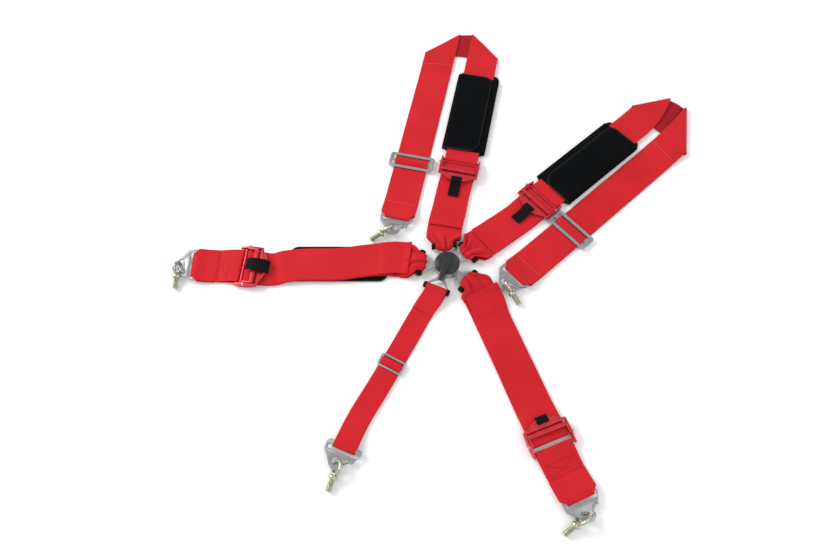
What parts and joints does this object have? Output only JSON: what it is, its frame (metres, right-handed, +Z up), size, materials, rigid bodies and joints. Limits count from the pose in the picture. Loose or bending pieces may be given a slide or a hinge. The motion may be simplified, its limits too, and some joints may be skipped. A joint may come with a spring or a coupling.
{
  "type": "racing harness",
  "caption": "Racing harness laid out flat: shoulder, lap and crotch webbing with adjusters, pads, slides and clip-in anchors, joined at a rotary cam-lock buckle.",
  "frame": {"origin": "centre of the buckle's back face, on the surface that the harness lies on", "axes": "+Z up from that surface, +Y towards the tops of the shoulder belts, +X towards the right-hand side seen from above with +Y ahead"},
  "size_m": [1.1716, 1.22, 0.036],
  "materials": {
    "red_webbing": "woven polyester webbing, satin",
    "black_webbing": "woven webbing",
    "black_pad_fabric": "matt knitted fabric with a bound edge",
    "red_anodised_metal": "satin red",
    "black_plastic": "moulded",
    "knob_plastic": "satin moulded",
    "tongue_steel": "satin",
    "buckle_aluminium": "turned",
    "slide_steel": "satin",
    "bright_zinc": "bright zinc plated",
    "yellow_zinc": "yellow zinc plated"
  },
  "bodies": {
    "buckle": {"buckle_back_plate": "buckle_aluminium", "buckle_housing": "buckle_aluminium", "knob_spring": "tongue_steel", "lap_pad": "black_pad_fabric", "tongue_lap_left": "tongue_steel", "webbing_guide_lap_left": "black_plastic", "lap_left_belt": "red_webbing", "lap_left_anchor_strap": "red_webbing", "adjuster_frame_lap_left": "red_anodised_metal", "pull_loop_lap_left": "black_webbing", "hook_plate_lap_left": "bright_zinc"},
    "release_knob": {"release_knob": "knob_plastic"},
    "latch_plate": {"latch_plate": "tongue_steel"},
    "shoulder_belt_left": {"tongue_shoulder_left": "tongue_steel", "webbing_guide_shoulder_left": "black_plastic", "shoulder_left_lower_belt": "red_webbing", "shoulder_left_upper_belt": "red_webbing", "rear_slide_shoulder_left": "slide_steel", "adjuster_frame_shoulder_left": "red_anodised_metal", "pull_loop_shoulder_left": "black_webbing", "hook_plate_shoulder_left": "bright_zinc"},
    "shoulder_belt_right": {"tongue_shoulder_right": "tongue_steel", "webbing_guide_shoulder_right": "black_plastic", "shoulder_right_lower_belt": "red_webbing", "shoulder_right_upper_belt": "red_webbing", "rear_slide_shoulder_right": "slide_steel", "adjuster_frame_shoulder_right": "red_anodised_metal", "pull_loop_shoulder_right": "black_webbing", "hook_plate_shoulder_right": "bright_zinc"},
    "lap_belt_right": {"tongue_lap_right": "tongue_steel", "webbing_guide_lap_right": "black_plastic", "lap_right_belt": "red_webbing", "lap_right_anchor_strap": "red_webbing", "adjuster_frame_lap_right": "red_anodised_metal", "pull_loop_lap_right": "black_webbing", "hook_plate_lap_right": "bright_zinc"},
    "crotch_belt": {"tongue_crotch": "tongue_steel", "webbing_guide_crotch": "black_plastic", "crotch_belt": "red_webbing", "crotch_slide": "slide_steel", "hook_plate_crotch": "bright_zinc"},
    "lock_bar_shoulder_left": {"lock_bar_shoulder_left": "red_anodised_metal"},
    "lock_bar_shoulder_right": {"lock_bar_shoulder_right": "red_anodised_metal"},
    "lock_bar_lap_left": {"lock_bar_lap_left": "red_anodised_metal"},
    "lock_bar_lap_right": {"lock_bar_lap_right": "red_anodised_metal"},
    "hook_gate_shoulder_left": {"hook_gate_shoulder_left": "bright_zinc"},
    "hook_gate_shoulder_right": {"hook_gate_shoulder_right": "bright_zinc"},
    "hook_gate_lap_left": {"hook_gate_lap_left": "bright_zinc"},
    "hook_gate_lap_right": {"hook_gate_lap_right": "bright_zinc"},
    "hook_gate_crotch": {"hook_gate_crotch": "bright_zinc"},
    "eye_bolt_shoulder_left": {"eye_bolt_shoulder_left": "yellow_zinc"},
    "eye_bolt_shoulder_right": {"eye_bolt_shoulder_right": "yellow_zinc"},
    "eye_bolt_lap_left": {"eye_bolt_lap_left": "yellow_zinc"},
    "eye_bolt_lap_right": {"eye_bolt_lap_right": "yellow_zinc"},
    "eye_bolt_crotch": {"eye_bolt_crotch": "yellow_zinc"},
    "shoulder_left_pad": {"shoulder_left_pad_base": "black_pad_fabric"},
    "shoulder_left_pad_flap": {"shoulder_left_pad_flap": "black_pad_fabric"},
    "shoulder_right_pad": {"shoulder_right_pad_base": "black_pad_fabric"},
    "shoulder_right_pad_flap": {"shoulder_right_pad_flap": "black_pad_fabric"}
  },
  "joints": [
    {"name": "knob_turn", "type": "hinge", "parent": "buckle", "child": "release_knob", "pos_m": [0, 0, 0.03], "axis": [0, 0, 1], "range_deg": [0, 90], "stiffness_Nm_per_rad": 0.05},
    {"name": "latch_lift", "type": "slide", "parent": "buckle", "child": "latch_plate", "axis": [0, 0, 1], "range_m": [0, 0.0038]},
    {"name": "shoulder_left_release", "type": "slide", "parent": "buckle", "child": "shoulder_belt_left", "axis": [-0.0906, 0.9959, 0], "range_m": [0, 0.0131]},
    {"name": "shoulder_right_release", "type": "slide", "parent": "buckle", "child": "shoulder_belt_right", "axis": [0.7965, 0.6046, 0], "range_m": [0, 0.0131]},
    {"name": "lap_right_release", "type": "slide", "parent": "buckle", "child": "lap_belt_right", "axis": [0.7902, -0.6129, 0], "range_m": [0, 0.0131]},
    {"name": "crotch_release", "type": "slide", "parent": "buckle", "child": "crotch_belt", "axis": [-0.4035, -0.915, 0], "range_m": [0, 0.0131]},
    {"name": "lock_bar_shoulder_left_lift", "type": "hinge", "parent": "shoulder_belt_left", "child": "lock_bar_shoulder_left", "pos_m": [0.03494, 0.25895, 0.0183], "axis": [-0.9758, 0.2187, 0], "range_deg": [0, 15]},
    {"name": "lock_bar_shoulder_right_lift", "type": "hinge", "parent": "shoulder_belt_right", "child": "lock_bar_shoulder_right", "pos_m": [0.21451, 0.16991, 0.0183], "axis": [-0.657, 0.7539, 0], "range_deg": [0, 15]},
    {"name": "lock_bar_lap_left_lift", "type": "hinge", "parent": "buckle", "child": "lock_bar_lap_left", "pos_m": [-0.42699, 0.00018, 0.0183], "axis": [-0.0886, -0.9961, 0], "range_deg": [0, 15]},
    {"name": "lock_bar_lap_right_lift", "type": "hinge", "parent": "lap_belt_right", "child": "lock_bar_lap_right", "pos_m": [0.18923, -0.37086, 0.0183], "axis": [0.9313, 0.3642, 0], "range_deg": [0, 15]},
    {"name": "hook_gate_shoulder_left_open", "type": "hinge", "parent": "shoulder_belt_left", "child": "hook_gate_shoulder_left", "pos_m": [-0.0951, 0.10038, 0.0105], "axis": [0, 0, 1], "range_deg": [-18, 0], "stiffness_Nm_per_rad": 0.02},
    {"name": "hook_gate_shoulder_right_open", "type": "hinge", "parent": "shoulder_belt_right", "child": "hook_gate_shoulder_right", "pos_m": [0.14242, -0.04792, 0.0105], "axis": [0, 0, 1], "range_deg": [-18, 0], "stiffness_Nm_per_rad": 0.02},
    {"name": "hook_gate_lap_left_open", "type": "hinge", "parent": "buckle", "child": "hook_gate_lap_left", "pos_m": [-0.56087, -0.01324, 0.0105], "axis": [0, 0, 1], "range_deg": [-18, 0], "stiffness_Nm_per_rad": 0.02},
    {"name": "hook_gate_lap_right_open", "type": "hinge", "parent": "lap_belt_right", "child": "hook_gate_lap_right", "pos_m": [0.25821, -0.48847, 0.0105], "axis": [0, 0, 1], "range_deg": [-18, 0], "stiffness_Nm_per_rad": 0.02},
    {"name": "hook_gate_crotch_open", "type": "hinge", "parent": "crotch_belt", "child": "hook_gate_crotch", "pos_m": [-0.19448, -0.41198, 0.0105], "axis": [0, 0, 1], "range_deg": [-18, 0], "stiffness_Nm_per_rad": 0.02},
    {"name": "eye_bolt_shoulder_left_swing", "type": "hinge", "parent": "shoulder_belt_left", "child": "eye_bolt_shoulder_left", "pos_m": [-0.12727, 0.09022, 0.01575], "axis": [-0.5324, 0.7965, 0.2865], "range_deg": [0, 45]},
    {"name": "eye_bolt_shoulder_right_swing", "type": "hinge", "parent": "shoulder_belt_right", "child": "eye_bolt_shoulder_right", "pos_m": [0.12707, -0.0493, 0.01561], "axis": [0.8419, 0.4255, 0.3319], "range_deg": [-45, 0]},
    {"name": "eye_bolt_lap_left_swing", "type": "hinge", "parent": "buckle", "child": "eye_bolt_lap_left", "pos_m": [-0.5732, -0.00661, 0.01592], "axis": [0.9558, -0.1164, 0.2699], "range_deg": [-45, 0]},
    {"name": "eye_bolt_lap_right_swing", "type": "hinge", "parent": "lap_belt_right", "child": "eye_bolt_lap_right", "pos_m": [0.23476, -0.51445, 0.0147], "axis": [-0.5961, 0.6344, 0.4921], "range_deg": [0, 45]},
    {"name": "eye_bolt_crotch_swing", "type": "hinge", "parent": "crotch_belt", "child": "eye_bolt_crotch", "pos_m": [-0.21504, -0.42349, 0.01335], "axis": [-0.7447, 0.1538, 0.6495], "range_deg": [0, 45]},
    {"name": "shoulder_left_pad_slide", "type": "slide", "parent": "shoulder_belt_left", "child": "shoulder_left_pad", "axis": [0.2048, 0.9788, 0], "range_m": [0, 0.03]},
    {"name": "shoulder_right_pad_slide", "type": "slide", "parent": "shoulder_belt_right", "child": "shoulder_right_pad", "axis": [0.7521, 0.659, 0], "range_m": [0, 0.03]},
    {"name": "shoulder_left_pad_flap_open", "type": "hinge", "parent": "shoulder_left_pad", "child": "shoulder_left_pad_flap", "pos_m": [0.02237, 0.42811, 0.008], "axis": [0.2048, 0.9788, 0], "range_deg": [-110, 0]},
    {"name": "shoulder_right_pad_flap_open", "type": "hinge", "parent": "shoulder_right_pad", "child": "shoulder_right_pad_flap", "pos_m": [0.36396, 0.23758, 0.008], "axis": [0.7521, 0.659, 0], "range_deg": [0, 110]}
  ],
  "couplings": [
    {"joint": "knob_turn", "follows": "latch_lift", "rad_per_m": 413.37},
    {"joint": "shoulder_left_release", "follows": "latch_lift", "ratio": 3.4211},
    {"joint": "shoulder_right_release", "follows": "latch_lift", "ratio": 3.4211},
    {"joint": "lap_right_release", "follows": "latch_lift", "ratio": 3.4211},
    {"joint": "crotch_release", "follows": "latch_lift", "ratio": 3.4211}
  ]
}
